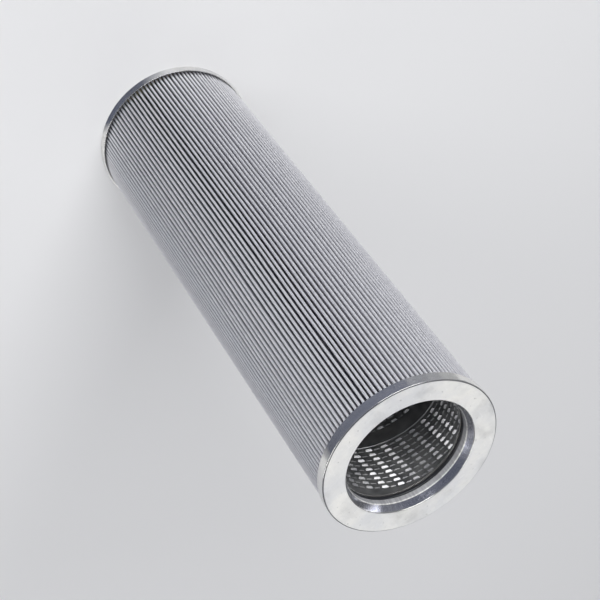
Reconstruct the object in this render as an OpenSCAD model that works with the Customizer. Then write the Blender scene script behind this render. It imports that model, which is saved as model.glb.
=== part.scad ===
// Hydraulic filter element: a pleated pack round a spiral-wound core, between two turned end caps.
// Frame: origin at the centre of the closed rear face, +Z along the axis to the open front face.
// All sizes are millimetres.

/* [Element] */
// Length over both end caps
element_length = 463; // [300:1:900]

/* [Front end cap] */
// Height of the rim that shows round the open end
front_rim_h = 8.7; // [8.5:0.1:14]
// Thickness of the plate between the front face and the core tube
front_plate_t = 5; // [4:0.1:5.5]
// Wall of the thin skirt round the pleat ends, on both caps
skirt_wall = 1; // [0.8:0.1:1.6]
// Chamfer on the outer edge of both caps
edge_chamfer = 1.1; // [0.3:0.1:1.5]

/* [Bore] */
// Diameter of the cylindrical throat that seats on the spigot
throat_d = 97.2; // [90:0.1:110]
// Radial flare of the conical lead-in, from the throat to the mouth
lead_in_flare = 3.3; // [1:0.1:5]
// Depth of the conical lead-in from the front face
lead_in_depth = 6.9; // [3:0.1:7.4]
// Depth from the front face to the seal groove
groove_depth_from_face = 11; // [10:0.1:12]
// Width of the seal groove
groove_w = 4.1; // [3.6:0.1:4.6]
// Width of the lip behind the seal groove
rear_lip_w = 1.3; // [1:0.1:3]
// Section diameter of the bore seal
seal_section = 3; // [2.4:0.1:3.4]
// How far the seal stands proud of the throat
seal_proud = 0.2; // [0.05:0.05:0.25]
// Wall of the collar between the seal groove and the core tube
collar_wall = 1.43; // [1.2:0.01:2.5]

/* [Core tube] */
// Wall of the core strip
core_wall = 0.8; // [0.6:0.1:1.2]
// Advance of the wound strip in one turn
strip_lead = 59; // [50:1:80]
// Width of the plain seam band along the strip, measured along the axis
seam_band = 13.3; // [8:0.1:20]
// Distance from the front face to the seam band where it crosses the +Y side
seam_below_face = 65.8; // [45:0.1:100]
// Columns of openings in one turn
opening_columns = 20; // [12:1:30]
// Rows of openings across the strip
opening_rows = 2; // [1:1:3]
// Width of one opening round the tube
opening_w = 6.5; // [3:0.5:8]
// Metal left between two openings along the axis
opening_bar = 3; // [2:0.5:6]
// Plain tube between the openings and the collar, or the plug
core_end_margin = 1.5; // [1:0.5:10]

/* [Pleat pack] */
// Number of folds round the pack
fold_count = 118; // [60:1:120]
// Depth of the folds, from their roots on the core to their crests
fold_depth = 14.8; // [10:0.1:24]
// Wall of the outer wire mesh, also that of the inner one
mesh_t = 0.22; // [0.15:0.01:0.25]
// Thickness of each of the two fleeces
fleece_t = 0.14; // [0.1:0.01:0.16]
// Thickness of the glass fibre layer
media_t = 0.24; // [0.15:0.01:0.3]
// Gap between neighbouring folds where they rest on the core
root_gap = 0.25; // [0.1:0.05:0.3]
// Half width left inside the innermost fold at its crest
crest_inside = 0.09; // [0.05:0.01:0.15]
// Height of the crown on each crest of the outer wire mesh
crest_crown = 0.35; // [0.1:0.05:0.6]

/* [Rear end cap] */
// Height of the rim that shows round the closed end
rear_rim_h = 8; // [7:0.5:16]
// Thickness of the closed floor
rear_floor_t = 3; // [2:0.5:4]
// Height of the plug that centres the core tube
plug_h = 4; // [2:0.5:8]

/* [Potting and clearances] */
// Thickness of the resin bed under the pleat ends
potting_t = 2.5; // [1.5:0.25:3]
// Radial clearance between the pleat crests and the skirts
pack_clearance = 0.2; // [0.1:0.05:0.4]
// Radial clearance of the core tube on the collar and on the plug
core_clearance = 0.15; // [0.05:0.05:0.3]
// Radial clearance between the core tube and the folds on it
fold_clearance = 0.2; // [0.1:0.05:0.4]
// Radial clearance round the resin beds
potting_clearance = 0.05; // [0.02:0.01:0.1]
// Radial clearance behind the bore seal
seal_clearance = 0.02; // [0.01:0.01:0.05]

/* [Hidden] */
$fn = 180;
eps = 0.5;

// Radii from the throat out to the rim, each from the one before it
throat_r = throat_d / 2;
mouth_r = throat_r + lead_in_flare;
seal_centre_r = throat_r - seal_proud + seal_section / 2;
groove_r = seal_centre_r + seal_section / 2 + seal_clearance;
collar_r = groove_r + collar_wall;
core_r = collar_r + core_clearance;
core_out_r = core_r + core_wall;
root_r = core_out_r + fold_clearance;
crest_r = root_r + fold_depth;
skirt_r = crest_r + pack_clearance;
cap_r = skirt_r + skirt_wall;

// Heights, all from the rear face
plate_z = element_length - front_plate_t;
groove_top_z = element_length - groove_depth_from_face;
groove_low_z = groove_top_z - groove_w;
collar_end_z = groove_low_z - rear_lip_w;
pack_low_z = rear_floor_t + potting_t;
pack_top_z = plate_z - potting_t;

// Section of the folds: offsets of the sheet faces from the outermost face
face_mesh_out = 0;
face_fleece_up = mesh_t;
face_media = face_fleece_up + fleece_t;
face_fleece_down = face_media + media_t;
face_mesh_in = face_fleece_down + fleece_t;
face_clean = face_mesh_in + mesh_t;
sheet_t = face_clean;
fold_step = 360 / fold_count;
crest_half = sheet_t + crest_inside;
root_half = PI * root_r / fold_count - root_gap / 2 - sheet_t;

// Bands of openings along the wound strip
open_zone = strip_lead - seam_band;
opening_step = open_zone / opening_rows;
opening_h = opening_step - opening_bar;
column_step = 360 / opening_columns;
column_rise = strip_lead / opening_columns;
seam_start_z = element_length - seam_below_face - strip_lead * 90 / 360;
core_low_z = rear_floor_t;
core_h = plate_z - core_low_z;
open_low_z = core_low_z + plug_h + core_end_margin;
open_top_z = collar_end_z - core_end_margin;
first_column = floor((open_low_z - seam_start_z - strip_lead) / column_rise);
last_column = ceil((open_top_z - seam_start_z) / column_rise);

// Point at height r above the axis and x beside it, in the fold that stands at angle a
function fold_point(a, x, r) = [r * cos(a) - x * sin(a), r * sin(a) + x * cos(a)];

// Crest of one sheet face: two shoulders, with a raised middle point if the face is crowned
function crest(a, offset, crowned) =
    let (half = crest_half - offset, r = crest_r - crest_crown - offset)
    crowned
        ? [fold_point(a, -half, r), fold_point(a, 0, r + crest_crown), fold_point(a, half, r)]
        : [fold_point(a, -half, r), fold_point(a, half, r)];

// Root of one sheet face: the flat that lies over the core
function root(a, offset) =
    let (half = root_half + offset, r = root_r + sheet_t - offset)
    [fold_point(a, -half, r), fold_point(a, half, r)];

// One sheet face, closed round the pack
function sheet_face(offset, crowned) = [
    for (i = [0 : fold_count - 1])
        each concat(
            crest(i * fold_step, offset, crowned),
            root((i + 0.5) * fold_step, offset)
        )
];

// One folded sheet between two of its faces, standing in the resin beds
module folded_sheet(outer, inner) {
    split = len(outer);
    translate([0, 0, pack_low_z])
        linear_extrude(height = pack_top_z - pack_low_z)
            polygon(
                points = concat(outer, inner),
                paths = [
                    [for (i = [0 : split - 1]) i],
                    [for (i = [0 : len(inner) - 1]) split + i]
                ]
            );
}

// Flat ring of resin between two heights
module resin_bed(low_z, high_z) {
    translate([0, 0, low_z])
        difference() {
            cylinder(r = skirt_r - potting_clearance, h = high_z - low_z);
            translate([0, 0, -eps])
                cylinder(r = core_out_r + potting_clearance, h = high_z - low_z + 2 * eps);
        }
}

// Turned ring with a conical lead-in, a throat, a seal groove, a collar for the core and a thin skirt
module front_end_cap() {
    color([0.84, 0.84, 0.82])
        rotate_extrude()
            polygon([
                [mouth_r, element_length],
                [cap_r - edge_chamfer, element_length],
                [cap_r, element_length - edge_chamfer],
                [cap_r, element_length - front_rim_h],
                [skirt_r, element_length - front_rim_h],
                [skirt_r, plate_z],
                [collar_r, plate_z],
                [collar_r, collar_end_z],
                [throat_r, collar_end_z],
                [throat_r, groove_low_z],
                [groove_r, groove_low_z],
                [groove_r, groove_top_z],
                [throat_r, groove_top_z],
                [throat_r, element_length - lead_in_depth]
            ]);
}

// Round seal in the groove of the throat
module bore_seal() {
    color([0.08, 0.08, 0.09])
        rotate_extrude()
            translate([seal_centre_r, (groove_top_z + groove_low_z) / 2])
                circle(d = seal_section, $fn = 48);
}

module front_potting() {
    color([0.62, 0.58, 0.5]) resin_bed(pack_top_z, plate_z);
}

module rear_potting() {
    color([0.62, 0.58, 0.5]) resin_bed(rear_floor_t, pack_low_z);
}

// One opening of the core, kept clear of the plain tube ends
module core_opening(angle, low, high) {
    z0 = max(low, open_low_z);
    z1 = min(high, open_top_z);
    if (z1 - z0 > opening_bar)
        rotate([0, 0, angle])
            translate([core_r - eps, -opening_w / 2, z0])
                cube([core_wall + 2 * eps, opening_w, z1 - z0]);
}

// Tube wound from a pierced strip, whose plain edge leaves a seam band that climbs round it
module core_tube() {
    color([0.45, 0.46, 0.48])
        difference() {
            translate([0, 0, core_low_z]) cylinder(r = core_out_r, h = core_h);
            translate([0, 0, core_low_z - eps]) cylinder(r = core_r, h = core_h + 2 * eps);
            for (column = [first_column : last_column], row = [0 : opening_rows - 1]) {
                low = seam_start_z + column * column_rise + row * opening_step + opening_bar / 2;
                core_opening(column * column_step, low, low + opening_h);
            }
        }
}

module outer_wire_mesh() {
    color([0.72, 0.72, 0.76])
        folded_sheet(sheet_face(face_mesh_out, true), sheet_face(face_fleece_up, true));
}

module upstream_fleece() {
    color([0.93, 0.93, 0.9])
        folded_sheet(sheet_face(face_fleece_up, true), sheet_face(face_media, false));
}

module glass_fibre_media() {
    color([0.96, 0.95, 0.9])
        folded_sheet(sheet_face(face_media, false), sheet_face(face_fleece_down, false));
}

module downstream_fleece() {
    color([0.93, 0.93, 0.9])
        folded_sheet(sheet_face(face_fleece_down, false), sheet_face(face_mesh_in, false));
}

module inner_wire_mesh() {
    color([0.6, 0.6, 0.64])
        folded_sheet(sheet_face(face_mesh_in, false), sheet_face(face_clean, false));
}

// Closed cap: a floor, a low skirt round the pleat ends and a plug inside the core
module rear_end_cap() {
    color([0.8, 0.8, 0.79])
        rotate_extrude()
            polygon([
                [0, 0],
                [cap_r - edge_chamfer, 0],
                [cap_r, edge_chamfer],
                [cap_r, rear_rim_h],
                [skirt_r, rear_rim_h],
                [skirt_r, rear_floor_t],
                [collar_r, rear_floor_t],
                [collar_r, rear_floor_t + plug_h],
                [0, rear_floor_t + plug_h]
            ]);
}

front_end_cap();
bore_seal();
front_potting();
core_tube();
outer_wire_mesh();
upstream_fleece();
glass_fibre_media();
downstream_fleece();
inner_wire_mesh();
rear_potting();
rear_end_cap();
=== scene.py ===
import math
import random

import bmesh
import bpy
import numpy as np
from mathutils import Matrix, Vector


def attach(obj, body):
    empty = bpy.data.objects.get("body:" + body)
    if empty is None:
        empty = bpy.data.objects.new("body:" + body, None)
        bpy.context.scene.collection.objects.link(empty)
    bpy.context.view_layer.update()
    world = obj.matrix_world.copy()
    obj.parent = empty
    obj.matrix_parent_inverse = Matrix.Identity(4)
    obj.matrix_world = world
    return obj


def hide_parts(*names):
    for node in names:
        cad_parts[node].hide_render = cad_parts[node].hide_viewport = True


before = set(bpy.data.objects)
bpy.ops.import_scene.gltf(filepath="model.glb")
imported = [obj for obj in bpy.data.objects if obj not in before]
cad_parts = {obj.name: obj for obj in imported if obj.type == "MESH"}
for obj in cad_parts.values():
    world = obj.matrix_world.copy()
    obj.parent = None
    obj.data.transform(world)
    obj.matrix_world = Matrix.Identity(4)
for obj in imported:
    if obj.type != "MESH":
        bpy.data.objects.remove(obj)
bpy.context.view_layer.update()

MM = 0.001

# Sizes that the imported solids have, in millimetres
ELEMENT_LENGTH = 463.0
CAP_R = 70.0
SKIRT_R = 69.0
THROAT_R = 48.6
MOUTH_R = 51.9
LEAD_IN_DEPTH = 6.9
GROOVE_R = 51.42
GROOVE_TOP_Z = 452.0
GROOVE_LOW_Z = 447.9
COLLAR_R = 52.85
COLLAR_END_Z = 446.6
PLATE_Z = 458.0
FRONT_RIM_H = 8.7
REAR_RIM_H = 8.0
REAR_FLOOR_T = 3.0
REAR_PLUG_Z = 7.0
EDGE_SLOPE = 1.1
SEAL_SECTION_R = 1.5
SEAL_CENTRE_R = 49.9
CORE_R = 53.0
CORE_LOW_Z = 3.0
PACK_LOW_Z = 5.5
PACK_TOP_Z = 455.5

# Roundings of the caps' edges, in millimetres
SHARP = 0.0
BROKEN_EDGE = 0.1
COLLAR_LIP_ROUND = 0.15
SKIRT_END_ROUND = 0.2
COLLAR_END_ROUND = 0.2
RIM_END_ROUND = 0.3
REAR_PLUG_ROUND = 0.4
EDGE_ROUND = 0.5
MOUTH_ROUND = 0.8
THROAT_ROUND = 0.9
REAR_ROUND = 0.9
# The sloped rim edge swells a little: how far inside the rim, and at which share of its depth
SWELL_IN = 0.12
SWELL_AT = 0.45
ROUNDING_STEPS = 6
# Flat strip kept beside each rounding, so that the shading stays flat there
ROUNDING_GUARD = 0.25

# Fineness of the round pieces, and the depth in millimetres of the seal's moulding line
CAP_SEGMENTS = 256
SEAL_SEGMENTS = 200
SEAL_SIDES = 32
SEAL_LINE_DEPTH = 0.04
# Angle in degrees from which an edge is shaded sharp
TURNED_SHARP = 35.0
SHEET_SHARP = 50.0
STRIP_SHARP = 25.0
# In metres: radius below which a point counts as on the axis, and reach of the strip's weld
ON_AXIS = 1e-7
WELD_REACH = 0.00002

# Folded pack, in millimetres
FOLD_COUNT = 118
CREST_R = 68.8
ROOT_R = 54.0
CREST_HALF = 1.05
CREST_ROUND = 0.85
CREST_ANGLES = (-90, -62, -38, -13, 13, 38, 62, 90)
FLAT_CREST_DROP = 0.35
FLAT_CREST_GAP = 0.12
SHEET_T = 0.96
ROOT_GAP = 0.25
ROOT_HALF = math.pi * ROOT_R / FOLD_COUNT - ROOT_GAP / 2 - SHEET_T
OUTER_RINGS = 33
INNER_RINGS = 17
# Sheets from the outside in: node, slot, depth of the outer and of the inner face
OUTER_SHEET = "outer_wire_mesh"
SHEETS = [
    (OUTER_SHEET, "wire_mesh", 0.0, 0.22),
    ("upstream_fleece", "fleece", 0.22, 0.36),
    ("glass_fibre_media", "glass_fibre", 0.36, 0.60),
    ("downstream_fleece", "fleece", 0.60, 0.74),
    ("inner_wire_mesh", "wire_mesh", 0.74, 0.96),
]
# Unevenness of the folds: their places, the waves along their height, the dip of their crests,
# and the share of their sideways shift that the roots follow
FOLD_SEED = 118
FOLD_SPREAD = 0.08
WANDER = 0.14
WANDER_WAVES = (1, 2, 3.3, 5.1)
WANDER_FADE = 0.6
CREST_DIP = 0.12
DIP_WAVES = 1.5
DIP_SWING = 0.4
ROOT_FOLLOW = 0.25
# Slow turn of the whole pack along its height: height in millimetres, turn in degrees
PACK_TURN = [(0, 0.08), (60, 0.16), (215, 0.13), (250, 0.22), (272, 0.42), (288, 0.57),
             (310, 0.80), (340, 1.00), (395, 1.18), (440, 1.34), (463, 1.46)]

# Core strip, wound to the right, in millimetres and degrees
STRIP_LEAD = 59.0
STRIP_T = 0.4
SEAM_W = 12.9
SEAM_PROUD = 0.45
SEAM_RAMP = 0.4
SEAM_EDGE_Z = 397.2
SEAM_EDGE_ANGLE = 90.0
COLUMNS = 27
COLUMN_STEP = 360 / COLUMNS
COLUMN_PITCH = 2 * math.pi * CORE_R / COLUMNS
COLUMN_START = 93.8
COLUMN_LEAN = 0.16
SPARE_COLUMNS = 2
FLAT_PARTS = 6
LOUVRE_ROWS = 9
LOUVRE_PITCH = 5.05
LOUVRE_MID = 23.9
LOUVRE_H = 1.55
LOUVRE_LIFT = 1.3
LOUVRE_HINGE_HALF = 2.6
LOUVRE_LIP_HALF = 1.75
LOUVRE_SEED = 27
LOUVRE_BEND = (0.80, 0.98)
LOUVRE_TILT = (-0.05, 0.05)
VENT_H = 0.75
VENT_LIFT = 0.36
VENT_HINGE_HALF = 2.1
VENT_LIP_HALF = 1.5
# Share of a tab's lift that it has at half its height
TAB_BOW = 0.55
PLAIN_TOP_Z = 443.6
PLAIN_LOW_Z = 13.0
# Lines across one column: places of the hinge and of the lip beside the column's centre,
# and what they belong to
STRIP_LINES = [
    (-LOUVRE_HINGE_HALF, -LOUVRE_HINGE_HALF, "wall"),
    (-LOUVRE_HINGE_HALF, -LOUVRE_LIP_HALF, "louvre"),
    (0.0, 0.0, "louvre"),
    (LOUVRE_HINGE_HALF, LOUVRE_LIP_HALF, "louvre"),
    (LOUVRE_HINGE_HALF, LOUVRE_HINGE_HALF, "wall"),
    (COLUMN_PITCH / 2 - VENT_HINGE_HALF, COLUMN_PITCH / 2 - VENT_HINGE_HALF, "wall"),
    (COLUMN_PITCH / 2 - VENT_HINGE_HALF, COLUMN_PITCH / 2 - VENT_LIP_HALF, "vent"),
    (COLUMN_PITCH / 2 + VENT_HINGE_HALF, COLUMN_PITCH / 2 + VENT_LIP_HALF, "vent"),
    (COLUMN_PITCH / 2 + VENT_HINGE_HALF, COLUMN_PITCH / 2 + VENT_HINGE_HALF, "wall"),
]
FLAT_LINES = [-LOUVRE_HINGE_HALF + COLUMN_PITCH * k / FLAT_PARTS for k in range(FLAT_PARTS + 1)]

# Zones of the turned metal in millimetres: from, to and, for a band, its soft edge
CONE_BAND = (THROAT_R + 0.45, MOUTH_R - 0.3, 0.4)
LIP_BAND = (THROAT_R + 0.01, THROAT_R + 0.5, 0.1)
SLOPE_BAND = (CAP_R - EDGE_SLOPE, CAP_R - 0.35, 0.1)
LAND_END = (THROAT_R + 0.02, THROAT_R + 0.12)
MOUTH_EDGE = (MOUTH_R - 0.2, MOUTH_R + 0.4)
RIM_EDGE = (CAP_R - 1.1, CAP_R - 0.7)
FRONT_PART = (GROOVE_TOP_Z, GROOVE_TOP_Z + 0.2)
# Zones of painted shade on the strip and the pack: the strip's inner face, depth of a fold, end of
# the pack
STRIP_FACE = (CORE_R - 0.3, CORE_R - 0.1)
FOLD_DEPTH = (CREST_R - 2.3, CREST_R - 0.08)
PACK_END = (REAR_RIM_H + 1.5, REAR_RIM_H + 6.5)

# Finishes. A noise is its scale, detail and roughness; a ramp is its two ends and the value at
# each; a tint is its share and colour; a bump is its distance in metres and its strength.

# Effects that several finishes share; the scale of the clouds and of the fibres is an input there
SHEEN_CLOUDS = (4.0, 0.6)
SHEEN_SPREAD = (0.3, 0.7)
SMUDGE_NOISE = (55.0, 5.0, 0.62)
SMUDGE_RAMP = (0.50, 0.72, 0.0, 1.0)
HAIR_NOISE = (1.0, 2.0, 0.5)
HAIRS = [((900.0, 120.0, 260.0), (0.66, 0.74, 0.0, 1.0)),
         ((140.0, 1000.0, 200.0), (0.67, 0.75, 0.0, 1.0))]
FIBRE_WAYS = ((0.25, 1.0, 1.0), (1.0, 0.25, 1.0), (1.0, 1.0, 0.2))
FIBRE_CLOUDS = (2.0, 0.5)
FIBRE_RAMP = (0.5, 0.75, 0.0, 1.0)
PATCH_RAMP = (0.3, 0.7, 0.0, 1.0)

# Turned aluminium
FACE_METALLIC = 0.9
FACE_WEAR = 0.6
FACE_SHEEN = {"Scale": 38.0, "Low": 0.34, "High": 0.48}
FACE_COOL = (0.785, 0.79, 0.795, 1)
FACE_WARM = (0.935, 0.925, 0.885, 1)
FACE_CLOUDS = (26.0, 4.0, 0.6)
CLOUD_RAMP = (0.38, 0.62, 0.0, 1.0)
FACE_DULL = (0.60, 0.60, 0.60, 1)
DULL_RAMP = (0.35, 0.60, 0.5, 0.0)
FACE_SPECK = (0.40, 0.39, 0.38, 1)
SPECK_NOISE = (300.0, 2.0, 0.4)
SPECK_RAMP = (0.69, 0.76, 0.0, 0.5)
SMUDGE_TINT = (0.75, (0.60, 0.60, 0.59, 1))
SMUDGE_ROUGHENS = 0.12
SCRATCH_TINT = (0.6, (0.98, 0.98, 0.98, 1))
SCRATCH_BUMP = (0.00003, 0.3)
FINE_LINES = (2600.0, 2.0, 0.6)
WIDE_LINES = (420.0, 2.0, 0.5)
WIDE_SHARE = 0.6
LINE_BUMP = (0.000010, 0.6)
LINE_ROUGHNESS = (0.3, 0.7, -0.04, 0.04)
POLISH = 0.26
CHATTER = (32.0, 3.0, 0.7)
STREAK_RAMP = (0.42, 0.62, 0.0, 0.5)
STREAK_COLOUR = (0.86, 0.87, 0.90, 1)
# Painted highlight on the throat's lip: less metallic there, broken up by the chatter
LIP_HIGHLIGHT_RAMP = (0.35, 0.58, 0.35, 1.0)
LIP_PAINTED_HIGHLIGHT = 0.85
# Painted sheen: the throat's land is less metallic, so it shows as a lit grey band
LAND_PAINTED_SHEEN = 0.5
# Painted shade: a dark navy tint in the lead-in cone
CONE_PAINTED_SHADE = (0.85, (0.48, 0.49, 0.58, 1))
# Painted shade: a grey tint on the throat's land
LAND_PAINTED_SHADE = (0.6, (0.27, 0.27, 0.31, 1))
# Painted shade: a dark line on the sloped rim edge
SLOPE_PAINTED_SHADE = (0.5, (0.22, 0.22, 0.27, 1))

# Rubber of the seal, and resin that holds the pleat ends: dark and pale colour of the clouds
SEAL_SHEEN = {"Scale": 180.0, "Low": 0.28, "High": 0.42}
SEAL_CLOUDS = ((0.010, 0.011, 0.014, 1), (0.022, 0.023, 0.028, 1))
SEAL_GRAIN = (2500.0, 2.0, 0.5)
SEAL_BUMP = (0.00002, 0.5)
RESIN_SHEEN = {"Scale": 120.0, "Low": 0.35, "High": 0.6}
RESIN_CLOUDS = ((0.36, 0.31, 0.23, 1), (0.48, 0.42, 0.32, 1))
RESIN_GRAIN = (300.0, 4.0, 0.5)
RESIN_BUMP = (0.0002, 0.6)

# Plated strip of the core
ZINC_METALLIC = 0.92
ZINC_WEAR = 0.5
ZINC_SHEEN = {"Scale": 110.0, "Low": 0.32, "High": 0.50}
ZINC_CLOUDS = ((0.46, 0.465, 0.48, 1), (0.64, 0.64, 0.64, 1))
ZINC_SMUDGE_TINT = (0.5, (0.40, 0.40, 0.41, 1))
ZINC_SCRATCH_BUMP = (0.00001, 0.15)
ROLLED_STRETCH = (60.0, 60.0, 1800.0)
ROLLED_NOISE = (1.0, 3.0, 0.6)
ROLLED_BUMP = (0.00002, 0.5)
# Painted shade on the strip's wall between the tabs
STRIP_FACE_SHADE_SHARE = 0.6
STRIP_FACE_SHADE_COLOUR = (0.18, 0.18, 0.21, 1)

# Woven wire, its pitch in millimetres
WIRE_METALLIC = 0.45
WIRE_SHEEN = {"Scale": 90.0, "Low": 0.30, "High": 0.44}
WIRE_CLOUDS = ((0.86, 0.86, 0.89, 1), (0.96, 0.96, 0.97, 1))
WIRE_GRAIN = (700.0, 3.0, 0.6)
WIRE_PITCH = 0.6
WIRE_GAP = (0.25, 0.25, 0.30, 1)
WEAVE_RAMP = (-1.0, 1.0, 0.35, 0.0)
WEAVE_BUMP = (0.00005, 0.5)
# Painted shade down in the folds
FOLD_SHADE_POWER = 0.8
FOLD_PAINTED_SHADE = (0.60, (0.12, 0.12, 0.17, 1))
# Painted shade at the rear end of the pack, beside the rim
PACK_END_SHADE_SHARE = 0.85
PACK_END_SHADE_COLOUR = (0.07, 0.07, 0.09, 1)

# Fleece and glass fibre: colours of the strands and between them, scale of the tangle
FLEECE = ((0.86, 0.86, 0.83, 1), (0.74, 0.74, 0.71, 1), 900.0)
GLASS_FIBRE = ((0.90, 0.89, 0.85, 1), (0.80, 0.79, 0.74, 1), 1500.0)
FIBRE_SHEEN = {"Scale": 150.0, "Low": 0.8, "High": 0.95}
FIBRE_FUZZ = 0.15
FIBRE_BUMP = (0.00015, 0.6)

# Camera at the photograph's angle, in the part's frame
CAMERA_PLACE = (-0.00318, -0.88592, 1.14968)
CAMERA_RIGHT = (-0.80409, 0.41900, 0.42176)
CAMERA_UP = (-0.59451, -0.56671, -0.57043)
CAMERA_BACK = (0.0, -0.70942, 0.70479)
CAMERA_LENS = 93.98
CAMERA_SENSOR = 36.0
CAMERA_NEAR = 0.02

# Floor in metres; its lift with the distance from the element: from, to, least, most
FLOOR_CORNERS = [(-6.0, -4.0), (6.0, -4.0), (6.0, 8.0), (-6.0, 8.0)]
FLOOR_COLOUR = (0.60, 0.60, 0.605, 1)
FLOOR_GLOW_COLOUR = (0.99, 0.99, 1.0, 1)
FLOOR_GLOW = 0.22
FLOOR_LIFT = (1.8, 5.5, 0.0, 0.60)
FLOOR_ROUGHNESS = 0.8

# Dark cards on the floor that only the bright metal mirrors: name, colour, corners in metres
CARD_Z = 0.0005
CARD_ROUGHNESS = 0.9
FOOT_CARD = "front_card"
CARDS = [
    (FOOT_CARD, (0.042, 0.052, 0.098),
     [(-0.0310, -0.0630), (0.0530, -0.0468), (0.495, -0.15), (2.4, -0.40), (2.4, -2.6),
      (-2.4, -2.6), (-0.38, -0.34)]),
    ("dusk_card", (0.19, 0.195, 0.22),
     [(-0.10, -0.1145), (-0.38, -0.34), (-2.4, -2.6), (-2.4, -1.10), (-0.49, -0.14)]),
    ("side_card", (0.27, 0.275, 0.30),
     [(-0.10, -0.1145), (-0.49, -0.14), (-2.4, -1.10), (-2.4, -0.10), (-0.51, 0.0),
      (-0.25, -0.03)]),
    ("pale_card", (0.36, 0.365, 0.38),
     [(-0.25, -0.03), (-0.51, 0.0), (-2.4, -0.10), (-2.4, 1.10), (-0.466, 0.207)]),
    ("far_side_card", (0.28, 0.285, 0.31),
     [(0.0530, -0.0468), (0.505, -0.06), (2.4, -0.15), (2.4, -0.40), (0.495, -0.15)]),
]
# Where the foot card turns pale beside the rear cap, in metres: ramps on both sides and outwards
FOOT_LEFT = (-0.0300, -0.0050)
FOOT_RIGHT = (0.0425, 0.0520)
FOOT_REACH = (0.085, 0.120)

# Area lamps that look at one point of the element: name, direction, distance, width, height,
# radiance, seen in mirrors, lights surfaces
LAMP_TARGET = (0.0, 0.0, 0.3)
LAMPS = [
    ("face_box", (0.12, 0.70, 0.70), 2.6, 2.6, 1.8, 1.02, True, True),
    ("key_box", (-0.43, -0.64, 0.56), 2.2, 1.8, 0.9, 4.2, True, True),
    ("key_fill", (-0.43, -0.64, 0.56), 2.5, 1.8, 1.2, 4.6, False, True),
    ("side_fill", (0.93, 0.05, 0.50), 2.4, 1.0, 0.7, 1.5, False, True),
    ("side_box", (0.90, -0.17, 0.63), 2.4, 1.7, 0.6, 4.4, True, False),
    ("fill_box", (0.25, -0.84, 0.45), 2.4, 1.6, 1.6, 2.6, False, True),
]

# Room round the element: its colours, and the directions in which it is dark
ROOM_COLOUR = (0.16, 0.165, 0.18, 1)
DARK_ROOM_COLOUR = (0.045, 0.055, 0.09, 1)
HORIZON_COLOUR = (0.84, 0.845, 0.86, 1)
DARK_FRONT = (-0.62, -0.25)
DARK_LOW = (0.30, 0.50)
DARK_OVERHEAD = (0.86, 0.96)


# ---- shader helpers ----

def new_tree(name):
    material = bpy.data.materials.new(name)
    material.use_nodes = True
    tree = material.node_tree
    tree.nodes.clear()
    output = tree.nodes.new("ShaderNodeOutputMaterial")
    shader = tree.nodes.new("ShaderNodeBsdfPrincipled")
    tree.links.new(shader.outputs["BSDF"], output.inputs["Surface"])
    return material, tree, shader


def new_group(name, inputs, outputs):
    """A shader node group with named sockets: name, kind and default of each."""
    group = bpy.data.node_groups.new(name, "ShaderNodeTree")
    for label, kind, default in inputs:
        socket = group.interface.new_socket(label, in_out="INPUT", socket_type=kind)
        if default is not None:
            socket.default_value = default
    for label, kind in outputs:
        group.interface.new_socket(label, in_out="OUTPUT", socket_type=kind)
    return group, group.nodes.new("NodeGroupInput"), group.nodes.new("NodeGroupOutput")


def place_group(tree, group, **values):
    node = tree.nodes.new("ShaderNodeGroup")
    node.node_tree = group
    for label, value in values.items():
        feed(tree, value, node.inputs[label])
    return node


def feed(tree, value, socket):
    """Links a socket, or sets a plain value."""
    if isinstance(value, bpy.types.NodeSocket):
        tree.links.new(value, socket)
    elif value is not None:
        socket.default_value = value


def noise_node(tree, scale, detail, rough):
    node = tree.nodes.new("ShaderNodeTexNoise")
    feed(tree, scale, node.inputs["Scale"])
    node.inputs["Detail"].default_value = detail
    node.inputs["Roughness"].default_value = rough
    return node


def noise(tree, vector, scale, detail, rough):
    node = noise_node(tree, scale, detail, rough)
    feed(tree, vector, node.inputs["Vector"])
    return node.outputs["Fac"]


def line_noise(tree, along, scale, detail, rough):
    """Noise that changes with one measure only."""
    node = noise_node(tree, scale, detail, rough)
    node.noise_dimensions = "1D"
    feed(tree, along, node.inputs["W"])
    return node.outputs["Fac"]


def math_node(tree, operation, first, second=None):
    node = tree.nodes.new("ShaderNodeMath")
    node.operation = operation
    feed(tree, first, node.inputs[0])
    feed(tree, second, node.inputs[1])
    return node.outputs[0]


def product(tree, first, second):
    return math_node(tree, "MULTIPLY", first, second)


def map_range(tree, value, low, high, to_low, to_high):
    node = tree.nodes.new("ShaderNodeMapRange")
    for socket, number in zip(node.inputs, (value, low, high, to_low, to_high)):
        feed(tree, number, socket)
    return node.outputs[0]


def ramp_mm(tree, value, ends, to_low, to_high):
    """Ramp between two measures in millimetres."""
    low, high = ends
    return map_range(tree, value, low * MM, high * MM, to_low, to_high)


def band_mask(tree, value, low, high, soft):
    """1 between two radii in millimetres, with soft edges inside them."""
    rise = ramp_mm(tree, value, (low, low + soft), 0.0, 1.0)
    fall = ramp_mm(tree, value, (high - soft, high), 1.0, 0.0)
    return product(tree, rise, fall)


def mix_colour(tree, factor, first, second):
    node = tree.nodes.new("ShaderNodeMix")
    node.data_type = "RGBA"
    feed(tree, factor, node.inputs["Factor"])
    feed(tree, first, node.inputs[6])
    feed(tree, second, node.inputs[7])
    return node.outputs[2]


def tinted(tree, shade, mask, share, colour):
    """The shade with a share of another colour where the mask is 1."""
    return mix_colour(tree, product(tree, mask, share), shade, colour)


def bump(tree, height, distance, strength, normal=None):
    node = tree.nodes.new("ShaderNodeBump")
    node.inputs["Strength"].default_value = strength
    node.inputs["Distance"].default_value = distance
    feed(tree, height, node.inputs["Height"])
    feed(tree, normal, node.inputs["Normal"])
    return node.outputs["Normal"]


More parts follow.
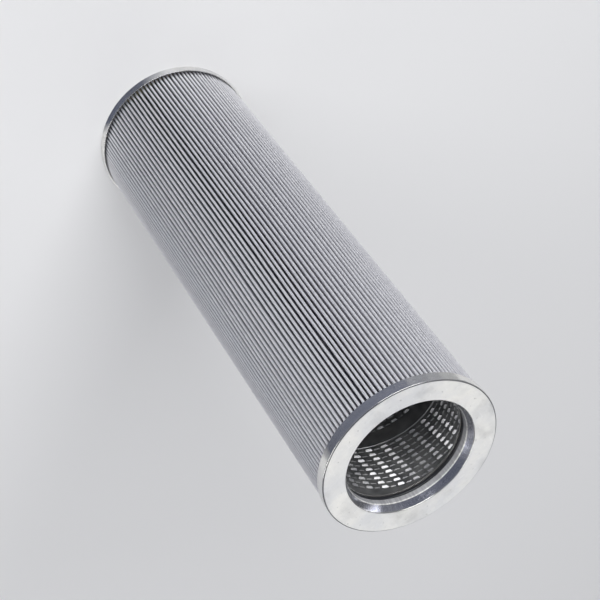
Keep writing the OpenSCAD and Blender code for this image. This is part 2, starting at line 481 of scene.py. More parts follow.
def dress(tree, shader, shade, rough, normal):
    """Feeds what every finish has."""
    feed(tree, shade, shader.inputs["Base Color"])
    feed(tree, rough, shader.inputs["Roughness"])
    feed(tree, normal, shader.inputs["Normal"])


def object_place(tree):
    return tree.nodes.new("ShaderNodeTexCoord").outputs["Object"]


def stretched(tree, vector, factors):
    node = tree.nodes.new("ShaderNodeVectorMath")
    node.operation = "MULTIPLY"
    feed(tree, vector, node.inputs[0])
    node.inputs[1].default_value = factors
    return node.outputs[0]


def way_round(tree, vector):
    """Direction away from the element's axis, the same at every radius and height."""
    node = tree.nodes.new("ShaderNodeVectorMath")
    node.operation = "NORMALIZE"
    feed(tree, stretched(tree, vector, (1.0, 1.0, 0.0)), node.inputs[0])
    return node.outputs[0]


def axes_of(tree, vector):
    split = tree.nodes.new("ShaderNodeSeparateXYZ")
    feed(tree, vector, split.inputs[0])
    return split.outputs["X"], split.outputs["Y"], split.outputs["Z"]


def radius_and_height(tree, vector):
    """Distance from the element's axis and height above the rear face."""
    x, y, z = axes_of(tree, vector)
    square = math_node(tree, "ADD", product(tree, x, x), product(tree, y, y))
    return math_node(tree, "SQRT", square), z


# ---- effects that several finishes share ----

def make_uneven_sheen():
    """Cloudy patches, and a roughness that follows them."""
    group, source, result = new_group(
        "uneven_sheen",
        [("Place", "NodeSocketVector", None), ("Scale", "NodeSocketFloat", 60.0),
         ("Low", "NodeSocketFloat", 0.3), ("High", "NodeSocketFloat", 0.5)],
        [("Roughness", "NodeSocketFloat"), ("Patches", "NodeSocketFloat")])
    patches = noise(group, source.outputs["Place"], source.outputs["Scale"], *SHEEN_CLOUDS)
    rough = map_range(group, patches, *SHEEN_SPREAD, source.outputs["Low"], source.outputs["High"])
    feed(group, rough, result.inputs["Roughness"])
    feed(group, patches, result.inputs["Patches"])
    return group


def make_handling_marks():
    """Smudges and fine scratches left by handling."""
    group, source, result = new_group(
        "handling_marks",
        [("Place", "NodeSocketVector", None), ("Amount", "NodeSocketFloat", 0.5)],
        [("Smudge", "NodeSocketFloat"), ("Scratch", "NodeSocketFloat")])
    place, amount = source.outputs["Place"], source.outputs["Amount"]
    smudge = map_range(group, noise(group, place, *SMUDGE_NOISE), *SMUDGE_RAMP)
    hairs = [map_range(group, noise(group, stretched(group, place, way), *HAIR_NOISE), *ramp)
             for way, ramp in HAIRS]
    scratch = math_node(group, "MAXIMUM", *hairs)
    feed(group, product(group, smudge, amount), result.inputs["Smudge"])
    feed(group, product(group, scratch, amount), result.inputs["Scratch"])
    return group


def make_fibre_tangle():
    """Crossed fine fibres of a non-woven layer."""
    group, source, result = new_group(
        "fibre_tangle",
        [("Place", "NodeSocketVector", None), ("Scale", "NodeSocketFloat", 900.0)],
        [("Height", "NodeSocketFloat"), ("Strands", "NodeSocketFloat")])
    heights = []
    for way in FIBRE_WAYS:
        vector = stretched(group, source.outputs["Place"], way)
        heights.append(noise(group, vector, source.outputs["Scale"], *FIBRE_CLOUDS))
    highest = math_node(group, "MAXIMUM", heights[0], heights[1])
    highest = math_node(group, "MAXIMUM", highest, heights[2])
    feed(group, highest, result.inputs["Height"])
    feed(group, map_range(group, highest, *FIBRE_RAMP), result.inputs["Strands"])
    return group


uneven_sheen = make_uneven_sheen()
handling_marks = make_handling_marks()
fibre_tangle = make_fibre_tangle()


# ---- finishes ----

def turned_aluminium():
    """Turned face and rim: tool lines round the axis, smudges, scratches, streaks in the mouth."""
    material, tree, shader = new_tree("turned_aluminium")
    place = object_place(tree)
    radius, height = radius_and_height(tree, place)
    fine, lines = tool_lines(tree, radius, height)
    marks = place_group(tree, handling_marks, Place=place, Amount=FACE_WEAR)
    sheen = place_group(tree, uneven_sheen, Place=place, **FACE_SHEEN)
    cone, lip, land, slope = mouth_zones(tree, radius, height)
    chatter = noise(tree, way_round(tree, place), *CHATTER)
    streaks = product(tree, map_range(tree, chatter, *STREAK_RAMP),
                      math_node(tree, "MAXIMUM", cone, land))
    # Painted highlight on the lip, broken up by the chatter
    lip = product(tree, lip, map_range(tree, chatter, *LIP_HIGHLIGHT_RAMP))
    shade = face_shade(tree, place, marks, sheen)
    # Painted shade: darker tints in the lead-in cone, on the throat's land and on the sloped rim
    # edge
    shade = tinted(tree, shade, cone, *CONE_PAINTED_SHADE)
    shade = tinted(tree, shade, land, *LAND_PAINTED_SHADE)
    shade = mix_colour(tree, streaks, shade, STREAK_COLOUR)
    shade = tinted(tree, shade, slope, *SLOPE_PAINTED_SHADE)
    # Painted highlight on the lip and painted sheen on the land: less metallic there
    painted_brightening = math_node(tree, "MAXIMUM", product(tree, lip, LIP_PAINTED_HIGHLIGHT),
                         product(tree, land, LAND_PAINTED_SHEEN))
    metallic = math_node(tree, "SUBTRACT", FACE_METALLIC, painted_brightening)
    feed(tree, metallic, shader.inputs["Metallic"])
    normal = bump(tree, lines, *LINE_BUMP)
    normal = bump(tree, marks.outputs["Scratch"], *SCRATCH_BUMP, normal)
    dress(tree, shader, shade, turned_roughness(tree, radius, fine, marks, sheen), normal)
    return material


def tool_lines(tree, radius, height):
    """Fine lines of the turning tool, and their height together with the wide ones."""
    tool_path = math_node(tree, "ADD", radius, height)
    fine = line_noise(tree, tool_path, *FINE_LINES)
    wide = line_noise(tree, tool_path, *WIDE_LINES)
    return fine, math_node(tree, "ADD", fine, product(tree, wide, WIDE_SHARE))


def mouth_zones(tree, radius, height):
    """Front cap masks of painted shade and highlight: lead-in cone, lip, throat's land, sloped rim
    edge.
    """
    front = ramp_mm(tree, height, FRONT_PART, 0.0, 1.0)
    cone, lip, slope = [product(tree, band_mask(tree, radius, *band), front)
                        for band in (CONE_BAND, LIP_BAND, SLOPE_BAND)]
    land = product(tree, ramp_mm(tree, radius, LAND_END, 1.0, 0.0), front)
    return cone, lip, land, slope


def face_shade(tree, place, marks, sheen):
    """Cool and warm clouds, dull patches, smudges, scratches and specks."""
    clouds = map_range(tree, noise(tree, place, *FACE_CLOUDS), *CLOUD_RAMP)
    shade = mix_colour(tree, clouds, FACE_COOL, FACE_WARM)
    dull = map_range(tree, sheen.outputs["Patches"], *DULL_RAMP)
    shade = mix_colour(tree, dull, shade, FACE_DULL)
    shade = tinted(tree, shade, marks.outputs["Smudge"], *SMUDGE_TINT)
    shade = tinted(tree, shade, marks.outputs["Scratch"], *SCRATCH_TINT)
    specks = map_range(tree, noise(tree, place, *SPECK_NOISE), *SPECK_RAMP)
    return mix_colour(tree, specks, shade, FACE_SPECK)


def turned_roughness(tree, radius, fine, marks, sheen):
    """Uneven sheen, duller at smudges, with the rim and the mouth polished."""
    rough = math_node(tree, "ADD", sheen.outputs["Roughness"],
                      product(tree, marks.outputs["Smudge"], SMUDGE_ROUGHENS))
    rough = math_node(tree, "ADD", rough, map_range(tree, fine, *LINE_ROUGHNESS))
    polished = math_node(tree, "MAXIMUM", ramp_mm(tree, radius, RIM_EDGE, 0.0, 1.0),
                         ramp_mm(tree, radius, MOUTH_EDGE, 1.0, 0.0))
    return math_node(tree, "SUBTRACT", rough, product(tree, polished, POLISH))


def cloudy_finish(name, sheen_values, clouds, grain, grain_bump):
    """Plain moulded or cast stuff: cloudy colour and sheen, and a fine grain."""
    material, tree, shader = new_tree(name)
    place = object_place(tree)
    sheen = place_group(tree, uneven_sheen, Place=place, **sheen_values)
    shade = mix_colour(tree, sheen.outputs["Patches"], *clouds)
    normal = bump(tree, noise(tree, place, *grain), *grain_bump)
    dress(tree, shader, shade, sheen.outputs["Roughness"], normal)
    return material


def seal_rubber():
    return cloudy_finish("seal_rubber", SEAL_SHEEN, SEAL_CLOUDS, SEAL_GRAIN, SEAL_BUMP)


def potting_resin():
    return cloudy_finish("potting_resin", RESIN_SHEEN, RESIN_CLOUDS, RESIN_GRAIN, RESIN_BUMP)


def zinc_strip():
    """Plated strip of the core: rolled lines, smudges, faint scratches, painted shade between the
    tabs.
    """
    material, tree, shader = new_tree("zinc_strip")
    place = object_place(tree)
    marks = place_group(tree, handling_marks, Place=place, Amount=ZINC_WEAR)
    sheen = place_group(tree, uneven_sheen, Place=place, **ZINC_SHEEN)
    clouds = map_range(tree, sheen.outputs["Patches"], *PATCH_RAMP)
    shade = mix_colour(tree, clouds, *ZINC_CLOUDS)
    shade = tinted(tree, shade, marks.outputs["Smudge"], *ZINC_SMUDGE_TINT)
    radius = radius_and_height(tree, place)[0]
    # Painted shade on the strip's wall between the tabs
    painted_shade_between_tabs = ramp_mm(tree, radius, STRIP_FACE, 0.0, STRIP_FACE_SHADE_SHARE)
    shade = mix_colour(tree, painted_shade_between_tabs, shade, STRIP_FACE_SHADE_COLOUR)
    shader.inputs["Metallic"].default_value = ZINC_METALLIC
    rolled = noise(tree, stretched(tree, place, ROLLED_STRETCH), *ROLLED_NOISE)
    normal = bump(tree, rolled, *ROLLED_BUMP)
    normal = bump(tree, marks.outputs["Scratch"], *ZINC_SCRATCH_BUMP, normal)
    dress(tree, shader, shade, sheen.outputs["Roughness"], normal)
    return material


def woven_wire():
    """Fine woven wire, with painted shade down in the folds and at the rear end of the pack."""
    material, tree, shader = new_tree("woven_wire")
    place = object_place(tree)
    radius, height = radius_and_height(tree, place)
    across = tree.nodes.new("ShaderNodeAttribute")
    across.attribute_name = "fold_length"
    turn = 2 * math.pi / (WIRE_PITCH * MM)
    warp = math_node(tree, "SINE", product(tree, across.outputs["Fac"], turn))
    weft = math_node(tree, "SINE", product(tree, height, turn))
    weave = product(tree, warp, weft)
    sheen = place_group(tree, uneven_sheen, Place=place, **WIRE_SHEEN)
    grain = map_range(tree, noise(tree, place, *WIRE_GRAIN), *PATCH_RAMP)
    shade = mix_colour(tree, grain, *WIRE_CLOUDS)
    shade = mix_colour(tree, map_range(tree, weave, *WEAVE_RAMP), shade, WIRE_GAP)
    # Painted shade: darker the deeper in a fold
    depth = math_node(tree, "POWER", ramp_mm(tree, radius, FOLD_DEPTH, 1.0, 0.0), FOLD_SHADE_POWER)
    shade = tinted(tree, shade, depth, *FOLD_PAINTED_SHADE)
    # Painted shade at the rear end of the pack, beside the rim
    painted_end_shade = ramp_mm(tree, height, PACK_END, PACK_END_SHADE_SHARE, 0.0)
    shade = mix_colour(tree, painted_end_shade, shade, PACK_END_SHADE_COLOUR)
    shader.inputs["Metallic"].default_value = WIRE_METALLIC
    dress(tree, shader, shade, sheen.outputs["Roughness"], bump(tree, weave, *WEAVE_BUMP))
    return material


def non_woven(name, pale, deep, scale):
    """Matt tangle of fibres, paler on the strands than between them."""
    material, tree, shader = new_tree(name)
    place = object_place(tree)
    tangle = place_group(tree, fibre_tangle, Place=place, Scale=scale)
    shade = mix_colour(tree, tangle.outputs["Strands"], deep, pale)
    sheen = place_group(tree, uneven_sheen, Place=place, **FIBRE_SHEEN)
    shader.inputs["Sheen Weight"].default_value = FIBRE_FUZZ
    normal = bump(tree, tangle.outputs["Height"], *FIBRE_BUMP)
    dress(tree, shader, shade, sheen.outputs["Roughness"], normal)
    return material


def card_paint(name, colour):
    """Matt paint; beside the rear cap the foot card turns as pale as the floor, in soft steps."""
    material, tree, shader = new_tree(name)
    shader.inputs["Base Color"].default_value = (*colour, 1)
    shader.inputs["Roughness"].default_value = CARD_ROUGHNESS
    if name == FOOT_CARD:
        place = object_place(tree)
        side = axes_of(tree, place)[0]
        dark = product(tree, map_range(tree, side, *FOOT_LEFT, 0.0, 1.0),
                       map_range(tree, side, *FOOT_RIGHT, 1.0, 0.0))
        near = map_range(tree, radius_and_height(tree, place)[0], *FOOT_REACH, 1.0, 0.0)
        pale = product(tree, near, math_node(tree, "SUBTRACT", 1.0, dark))
        feed(tree, mix_colour(tree, pale, (*colour, 1), FLOOR_COLOUR), shader.inputs["Base Color"])
        shader.inputs["Emission Color"].default_value = FLOOR_GLOW_COLOUR
        feed(tree, product(tree, pale, FLOOR_GLOW), shader.inputs["Emission Strength"])
    return material


def floor_paint():
    """Pale floor, lifted where the lamps no longer reach, so that it stays pale."""
    material, tree, shader = new_tree("pale_floor")
    shader.inputs["Base Color"].default_value = FLOOR_COLOUR
    shader.inputs["Roughness"].default_value = FLOOR_ROUGHNESS
    shader.inputs["Emission Color"].default_value = FLOOR_GLOW_COLOUR
    path = tree.nodes.new("ShaderNodeLightPath")
    away = radius_and_height(tree, object_place(tree))[0]
    lift = product(tree, path.outputs["Is Camera Ray"], map_range(tree, away, *FLOOR_LIFT))
    seen = math_node(tree, "MAXIMUM", path.outputs["Is Camera Ray"], path.outputs["Is Glossy Ray"])
    strength = math_node(tree, "ADD", lift, product(tree, seen, FLOOR_GLOW))
    feed(tree, strength, shader.inputs["Emission Strength"])
    return material


# ---- mesh helpers ----

def link_object(name, data):
    thing = bpy.data.objects.new(name, data)
    bpy.context.scene.collection.objects.link(thing)
    return thing


def add_piece(name, vertices, faces, material, replaced, sharp_angle):
    mesh = bpy.data.meshes.new(name)
    mesh.from_pydata(vertices, [], faces)
    mesh.validate()
    mesh.update()
    return finish_piece(name, mesh, material, replaced, sharp_angle)


def finish_piece(name, mesh, material, replaced, sharp_angle):
    mesh.polygons.foreach_set("use_smooth", [True] * len(mesh.polygons))
    mesh.set_sharp_from_angle(angle=math.radians(sharp_angle))
    mesh.materials.append(material)
    piece = link_object(name, mesh)
    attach(piece, "root")
    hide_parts(*replaced)
    return piece


def rounded_profile(corners):
    """Closed profile from corners (radius, height, rounding), held flat beside each rounding."""
    points = []
    count = len(corners)
    for i, (r, z, rounding) in enumerate(corners):
        here = Vector((r, z))
        if rounding <= 0:
            points.append(here)
            continue
        back = Vector(corners[i - 1][:2]) - here
        ahead = Vector(corners[(i + 1) % count][:2]) - here
        half_angle = back.angle(ahead) / 2
        reach = rounding / math.tan(half_angle)
        start = here + back.normalized() * reach
        end = here + ahead.normalized() * reach
        centre_way = (back.normalized() + ahead.normalized()).normalized()
        centre = here + centre_way * (rounding / math.sin(half_angle))
        if back.length > 2 * (reach + ROUNDING_GUARD):
            points.append(start + back.normalized() * ROUNDING_GUARD)
        first, last = start - centre, end - centre
        turn = first.angle_signed(last)
        for step in range(ROUNDING_STEPS + 1):
            arm = first.copy()
            arm.rotate(Matrix.Rotation(-turn * step / ROUNDING_STEPS, 2))
            points.append(centre + arm)
        if ahead.length > 2 * (reach + ROUNDING_GUARD):
            points.append(end + ahead.normalized() * ROUNDING_GUARD)
    return points


def lathe(name, profile, segments, material, replaced):
    """Revolves a closed profile; points on the axis become one vertex."""
    vertices, rings = [], []
    for point in profile:
        r, z = point[0] * MM, point[1] * MM
        if r < ON_AXIS:
            rings.append([len(vertices)] * segments)
            vertices.append((0.0, 0.0, z))
        else:
            first = len(vertices)
            rings.append(list(range(first, first + segments)))
            for k in range(segments):
                angle = 2 * math.pi * k / segments
                vertices.append((r * math.cos(angle), r * math.sin(angle), z))
    faces = []
    for low, high in zip(rings, rings[1:] + rings[:1]):
        if low[0] == low[1] and high[0] == high[1]:
            continue
        for k in range(segments):
            n = (k + 1) % segments
            face = [low[k], low[n], high[n], high[k]]
            faces.append([v for i, v in enumerate(face) if v not in face[:i]])
    piece = add_piece(name, vertices, faces, material, replaced, TURNED_SHARP)
    turn_faces_out(piece.data)


def turn_faces_out(mesh):
    work = bmesh.new()
    work.from_mesh(mesh)
    bmesh.ops.recalc_face_normals(work, faces=work.faces)
    work.to_mesh(mesh)
    work.free()


# ---- caps and seal ----

def make_front_cap(material):
    """Turned ring: rounded rim edges, lead-in cone, throat, seal groove, collar and skirt."""
    top = ELEMENT_LENGTH
    corners = [
        (MOUTH_R, top, MOUTH_ROUND),
        (CAP_R - EDGE_SLOPE, top, BROKEN_EDGE),
        (CAP_R - SWELL_IN, top - SWELL_AT * EDGE_SLOPE, EDGE_ROUND),
        (CAP_R, top - EDGE_SLOPE, BROKEN_EDGE),
        (CAP_R, top - FRONT_RIM_H, RIM_END_ROUND),
        (SKIRT_R, top - FRONT_RIM_H, SKIRT_END_ROUND),
        (SKIRT_R, PLATE_Z, SHARP),
        (COLLAR_R, PLATE_Z, SHARP),
        (COLLAR_R, COLLAR_END_Z, COLLAR_END_ROUND),
        (THROAT_R, COLLAR_END_Z, COLLAR_LIP_ROUND),
        (THROAT_R, GROOVE_LOW_Z, BROKEN_EDGE),
        (GROOVE_R, GROOVE_LOW_Z, SHARP),
        (GROOVE_R, GROOVE_TOP_Z, SHARP),
        (THROAT_R, GROOVE_TOP_Z, BROKEN_EDGE),
        (THROAT_R, top - LEAD_IN_DEPTH, THROAT_ROUND),
    ]
    lathe("front_cap", rounded_profile(corners), CAP_SEGMENTS, material,
          ["front_end_cap"])


def make_rear_cap(material):
    """Closed disc with a rounded edge, a rim round the pack and a plug inside the core."""
    corners = [
        (0.0, 0.0, SHARP),
        (CAP_R, 0.0, REAR_ROUND),
        (CAP_R, REAR_RIM_H, RIM_END_ROUND),
        (SKIRT_R, REAR_RIM_H, SKIRT_END_ROUND),
        (SKIRT_R, REAR_FLOOR_T, SHARP),
        (COLLAR_R, REAR_FLOOR_T, SHARP),
        (COLLAR_R, REAR_PLUG_Z, REAR_PLUG_ROUND),
        (0.0, REAR_PLUG_Z, SHARP),
    ]
    lathe("rear_cap", rounded_profile(corners), CAP_SEGMENTS, material,
          ["rear_end_cap"])


def make_seal(material):
    """Round seal with the faint moulding line of its section."""
    mid_z = (GROOVE_TOP_Z + GROOVE_LOW_Z) / 2
    half = SEAL_SIDES // 2
    profile = []
    for k in range(SEAL_SIDES):
        angle = 2 * math.pi * k / SEAL_SIDES
        radius = SEAL_SECTION_R - (SEAL_LINE_DEPTH if k % half == half // 2 else 0.0)
        profile.append((SEAL_CENTRE_R + radius * math.cos(angle), mid_z + radius * math.sin(angle)))
    lathe("bore_ring", profile, SEAL_SEGMENTS, material, ["bore_seal"])


# ---- folded pack ----

def fold_wander(rings):
    """Sideways shift and dip of each crest at each ring, in millimetres, alike for all sheets."""
    draw = random.Random(FOLD_SEED)
    heights = np.linspace(0.0, 1.0, rings)
    shift = np.zeros((FOLD_COUNT, rings))
    dip = np.zeros((FOLD_COUNT, rings))
    for fold in range(FOLD_COUNT):
        shift[fold] += draw.gauss(0.0, FOLD_SPREAD)
        for waves in WANDER_WAVES:
            size = draw.gauss(0.0, WANDER / (1 + WANDER_FADE * waves))
            phase = draw.uniform(0.0, 2 * math.pi)
            shift[fold] += size * np.sin(2 * math.pi * waves * heights + phase)
        level = draw.uniform(0.0, CREST_DIP)
        phase = draw.uniform(0.0, 2 * math.pi)
        swing = DIP_SWING * np.sin(2 * math.pi * DIP_WAVES * heights + phase)
        dip[fold] = level * (1 - DIP_SWING + swing)
    return shift, dip


def sheet_section(offset, rounded):
    """One fold of a sheet face, as (sideways, radius): points of its crest, then of its root."""
    half = CREST_HALF - offset
    if rounded:
        shoulder = CREST_R - CREST_ROUND - offset
        crest = []
        for degrees in CREST_ANGLES:
            a = math.radians(degrees)
            crest.append((half * math.sin(a), shoulder + CREST_ROUND * math.cos(a)))
    else:
        shoulder = CREST_R - FLAT_CREST_DROP - offset - FLAT_CREST_GAP
        crest = [(-half, shoulder), (half, shoulder)]
    foot = ROOT_HALF + offset
    foot_r = ROOT_R + SHEET_T - offset
    return crest, [(-foot, foot_r), (foot, foot_r)]


def sheet_face_rings(offset, rounded, heights, shift, dip):
    """Points of one sheet face, ring by ring."""
    crest, root = sheet_section(offset, rounded)
    turn_heights, turns = zip(*PACK_TURN)
    rings = []
    for level, z in enumerate(heights):
        points = []
        turn = math.radians(np.interp(z, turn_heights, turns))
        for fold in range(FOLD_COUNT):
            here, beside = shift[fold, level], shift[(fold + 1) % FOLD_COUNT, level]
            crest_angle = 2 * math.pi * fold / FOLD_COUNT + turn
            for x, r in crest:
                points.append(turned(crest_angle, x + here, r - dip[fold, level], z))
            follow = ROOT_FOLLOW * (here + beside) / 2
            root_angle = 2 * math.pi * (fold + 0.5) / FOLD_COUNT + turn
            for x, r in root:
                points.append(turned(root_angle, x + follow, r, z))
        rings.append(points)
    return rings


def turned(angle, sideways, radius, z):
    c, s = math.cos(angle), math.sin(angle)
    return ((radius * c - sideways * s) * MM, (radius * s + sideways * c) * MM, z * MM)


def make_sheet(name, outer_offset, inner_offset, material):
    """One closed folded sheet; only the outermost shows, with round crests and more rings."""
    rounded = name == OUTER_SHEET
    rings = OUTER_RINGS if rounded else INNER_RINGS
    heights = np.linspace(PACK_LOW_Z, PACK_TOP_Z, rings)
    shift, dip = fold_wander(rings)
    outer = sheet_face_rings(outer_offset, rounded, heights, shift, dip)
    inner = sheet_face_rings(inner_offset, rounded, heights, shift, dip)
    vertices = [p for ring in outer + inner for p in ring]
    faces = sheet_faces(rings, len(outer[0]))
    piece = add_piece(name + "_sheet", vertices, faces, material, [name], SHEET_SHARP)
    store_fold_length(piece.data, outer[0])


def sheet_faces(rings, per_ring):
    """Faces of both sides of a sheet and of its two ends."""
    back = rings * per_ring
    faces = []
    for level in range(rings - 1):
        for k in range(per_ring):
            n = (k + 1) % per_ring
            a, b = level * per_ring, (level + 1) * per_ring
            faces.append((a + k, a + n, b + n, b + k))
            faces.append((back + a + n, back + a + k, back + b + k, back + b + n))
    top = (rings - 1) * per_ring
    for k in range(per_ring):
        n = (k + 1) % per_ring
        faces.append((k, back + k, back + n, n))
        faces.append((top + n, back + top + n, back + top + k, top + k))
    return faces


def store_fold_length(mesh, first_ring):
    """Length along the folded section, which the weave follows."""
    points = np.array(first_ring)
    steps = np.linalg.norm(np.diff(points, axis=0), axis=1)
    along = np.concatenate([[0.0], np.cumsum(steps)])
    attribute = mesh.attributes.new("fold_length", "FLOAT", "POINT")
    attribute.data.foreach_set("value", np.tile(along, len(mesh.vertices) // len(first_ring)))


# ---- core strip ----

def wound_height(angle):
    """Height of the seam's edge where the strip has turned by an angle in degrees."""
    return SEAM_EDGE_Z + STRIP_LEAD * (angle - SEAM_EDGE_ANGLE) / 360


class StripBuilder:
    """Collects the vertices and faces of the wound strip, louvre by louvre."""

    def __init__(self):
        self.vertices = []
        self.faces = []
        self.draw = random.Random(LOUVRE_SEED)

    def point(self, column, beside, up, lift):
        angle = COLUMN_START + column * COLUMN_STEP + math.degrees(beside / CORE_R)
        angle += COLUMN_LEAN * (up - LOUVRE_MID)
        z = wound_height(angle) + up
        a = math.radians(angle)
        r = CORE_R - lift
        self.vertices.append((r * math.cos(a) * MM, r * math.sin(a) * MM, z * MM))
        return len(self.vertices) - 1

    def flat_row(self, column, up, lift):
        return [self.point(column, beside, up, lift) for beside in FLAT_LINES]

    def band(self, low, high):
        for k in range(len(low) - 1):
            self.faces.append((low[k], low[k + 1], high[k + 1], high[k]))

    def join(self, low, high):
        """Joins two rows of unlike point counts, side by side, with a fan of faces."""
        if len(low) == len(high):
            self.band(low, high)
            return
        flip = len(low) < len(high)
        longer, shorter = (high, low) if flip else (low, high)
        last = len(shorter) - 1
        spots = [round(k * last / (len(longer) - 1)) for k in range(len(longer))]
        for k in range(len(longer) - 1):
            face = [longer[k], longer[k + 1], shorter[spots[k + 1]]]
            if spots[k] != spots[k + 1]:
                face.append(shorter[spots[k]])
            self.faces.append(tuple(reversed(face)) if flip else tuple(face))


def make_core_strip(material):
    """The wound strip in two lengths, since one mesh of it would be too large."""
    builder = StripBuilder()
    low_column = -((SEAM_EDGE_Z + STRIP_LEAD) / STRIP_LEAD) * COLUMNS - SPARE_COLUMNS
    high_column = (ELEMENT_LENGTH - SEAM_EDGE_Z + SEAM_W) / STRIP_LEAD * COLUMNS + SPARE_COLUMNS
    for column in range(math.floor(low_column), math.ceil(high_column)):
        add_strip_column(builder, column)
    mesh = bpy.data.meshes.new("core_strip")
    mesh.from_pydata(builder.vertices, [], builder.faces)
    mid_z = (CORE_LOW_Z + PLATE_Z) / 2
    for name, low, high in (("core_strip_lower", CORE_LOW_Z, mid_z),
                            ("core_strip_upper", mid_z, PLATE_Z)):
        part = cut_strip(mesh, name, low * MM, high * MM)
        finish_piece(name, part, material, ["core_tube"], STRIP_SHARP)


def add_strip_column(builder, column):
    """One column across the strip: the raised seam band, the rows of louvres, the plain edge."""
    seam_steps = ((-SEAM_W, 0.0), (-SEAM_W + SEAM_RAMP, SEAM_PROUD),
                  (-SEAM_RAMP, SEAM_PROUD), (0.0, 0.0))
    seam = [builder.flat_row(column, up, lift) for up, lift in seam_steps]
    for low, high in zip(seam, seam[1:]):
        builder.band(low, high)
    below = seam[-1]
    for row in range(LOUVRE_ROWS):
        up = LOUVRE_MID + LOUVRE_PITCH * (row - (LOUVRE_ROWS - 1) / 2)
        below = add_louvre_row(builder, column, up, below)
    builder.join(below, builder.flat_row(column, STRIP_LEAD - SEAM_W, 0.0))


def add_louvre_row(builder, column, up, below):
    """A louvre and a vent beside it, joined to the row below; gives back their upper edge."""
    z = wound_height(COLUMN_START + column * COLUMN_STEP) + up
    pierced = PLAIN_LOW_Z < z < PLAIN_TOP_Z
    low_up, high_up = up - LOUVRE_H / 2, up + LOUVRE_H / 2
    bend = builder.draw.uniform(*LOUVRE_BEND)
    tilt = builder.draw.uniform(*LOUVRE_TILT)
    walls, lips, middles, hinges = [], [], [], []
    for hinge_x, lip_x, kind in STRIP_LINES:
        height = VENT_H if kind == "vent" else LOUVRE_H
        lifts = {"wall": 0.0, "louvre": LOUVRE_LIFT * bend + tilt * lip_x, "vent": VENT_LIFT}
        lift = lifts[kind] if pierced else 0.0
        cut_up = high_up - height
        mid_x, mid_up = (lip_x + hinge_x) / 2, cut_up + height / 2
        walls.append(builder.point(column, lip_x, cut_up, 0.0))
        lips.append(builder.point(column, lip_x, cut_up, lift))
        middles.append(builder.point(column, mid_x, mid_up, lift * TAB_BOW))
        hinges.append(builder.point(column, hinge_x, high_up, 0.0))
    end = [builder.point(column + 1, -LOUVRE_HINGE_HALF, u, 0.0) for u in (low_up, up, high_up)]
    walls.append(end[0])
    lips.append(end[0])
    middles.append(end[1])
    hinges.append(end[2])
    builder.join(below, walls)
    builder.band(lips, middles)
    builder.band(middles, hinges)
    return hinges


def cut_strip(mesh, name, low, high):
    """One length of the strip, cut clean at two heights, welded and thickened outwards."""
    work = bmesh.new()
    work.from_mesh(mesh)
    for height, way in ((low, -1.0), (high, 1.0)):
        geometry = work.verts[:] + work.edges[:] + work.faces[:]
        bmesh.ops.bisect_plane(work, geom=geometry, plane_co=(0, 0, height), plane_no=(0, 0, way),
                               clear_outer=True)
    bmesh.ops.remove_doubles(work, verts=work.verts, dist=WELD_REACH)
    part = bpy.data.meshes.new(name)
    work.to_mesh(part)
    work.free()
    holder = link_object(name + "_holder", part)
    solid = holder.modifiers.new("thickness", "SOLIDIFY")
    solid.thickness = STRIP_T * MM
    solid.offset = -1.0
    thickened = holder.evaluated_get(bpy.context.evaluated_depsgraph_get())
    result = bpy.data.meshes.new_from_object(thickened)
    bpy.data.objects.remove(holder)
    result.name = name
    return result


# ---- stage, lamps and camera ----

def make_stage():
    floor = flat_sheet("floor", FLOOR_CORNERS, 0.0, floor_paint())
    for name, colour, outline in CARDS:
        card = flat_sheet(name, outline, CARD_Z, card_paint(name, colour))
        card.visible_camera = False
        card.visible_diffuse = False
        card.visible_shadow = False


def flat_sheet(name, outline, z, material):
    mesh = bpy.data.meshes.new(name)
    mesh.from_pydata([(x, y, z) for x, y in outline], [], [tuple(range(len(outline)))])
    mesh.materials.append(material)
    return link_object(name, mesh)


def softbox(name, way, distance, width, height, radiance, mirrored, diffuse):
    """Area lamp on one side of the element, with its power set by the radiance of its face."""
    lamp = bpy.data.lights.new(name, "AREA")
    lamp.shape = "RECTANGLE"
    lamp.size, lamp.size_y = width, height
    lamp.energy = radiance * math.pi * width * height
    holder = link_object(name, lamp)
    way = Vector(way).normalized()
    holder.location = Vector(LAMP_TARGET) + way * distance
    holder.rotation_euler = way.to_track_quat("Z", "Y").to_euler()
    holder.visible_glossy = mirrored
    holder.visible_diffuse = diffuse


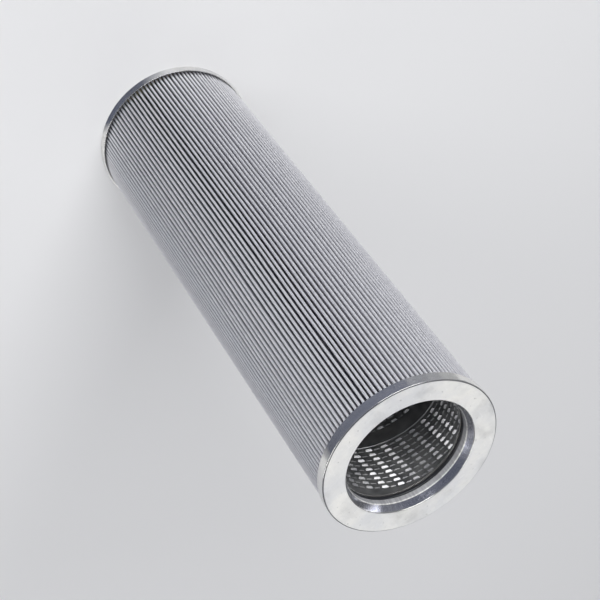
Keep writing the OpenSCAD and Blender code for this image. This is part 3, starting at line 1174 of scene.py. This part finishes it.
def studio_world():
    """Soft grey room, darker low in front and straight overhead, between the boxes."""
    world = bpy.data.worlds.new("studio")
    world.use_nodes = True
    tree = world.node_tree
    y, z = axes_of(tree, tree.nodes.new("ShaderNodeTexCoord").outputs["Generated"])[1:]
    front = map_range(tree, y, *DARK_FRONT, 1.0, 0.0)
    low = map_range(tree, z, *DARK_LOW, 1.0, 0.0)
    overhead = map_range(tree, z, *DARK_OVERHEAD, 0.0, 1.0)
    dark = math_node(tree, "MAXIMUM", product(tree, front, low), overhead)
    room = mix_colour(tree, dark, ROOM_COLOUR, DARK_ROOM_COLOUR)
    camera_ray = tree.nodes.new("ShaderNodeLightPath").outputs["Is Camera Ray"]
    background = tree.nodes["Background"]
    feed(tree, mix_colour(tree, camera_ray, room, HORIZON_COLOUR), background.inputs["Color"])
    background.inputs["Strength"].default_value = 1.0
    return world


def make_camera():
    camera = bpy.data.cameras.new("camera")
    camera.lens = CAMERA_LENS
    camera.sensor_width = CAMERA_SENSOR
    camera.clip_start = CAMERA_NEAR
    holder = link_object("camera", camera)
    turn = Matrix((CAMERA_RIGHT, CAMERA_UP, CAMERA_BACK)).transposed()
    holder.matrix_world = Matrix.Translation(CAMERA_PLACE) @ turn.to_4x4()
    bpy.context.scene.camera = holder


# ---- the element ----

make_camera()
bpy.context.scene.view_settings.view_transform = "Standard"

cap_metal = turned_aluminium()
make_front_cap(cap_metal)
make_rear_cap(cap_metal)
make_seal(seal_rubber())
make_core_strip(zinc_strip())

sheet_materials = {
    "wire_mesh": woven_wire(),
    "fleece": non_woven("polyester_fleece", *FLEECE),
    "glass_fibre": non_woven("glass_fibre", *GLASS_FIBRE),
}
for sheet_name, sheet_slot, outer_depth, inner_depth in SHEETS:
    make_sheet(sheet_name, outer_depth, inner_depth, sheet_materials[sheet_slot])

resin = potting_resin()
for node_name in ("front_potting", "rear_potting"):
    resin_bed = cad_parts[node_name]
    resin_bed.data.materials.clear()
    resin_bed.data.materials.append(resin)

make_stage()
for lamp_values in LAMPS:
    softbox(*lamp_values)
bpy.context.scene.world = studio_world()
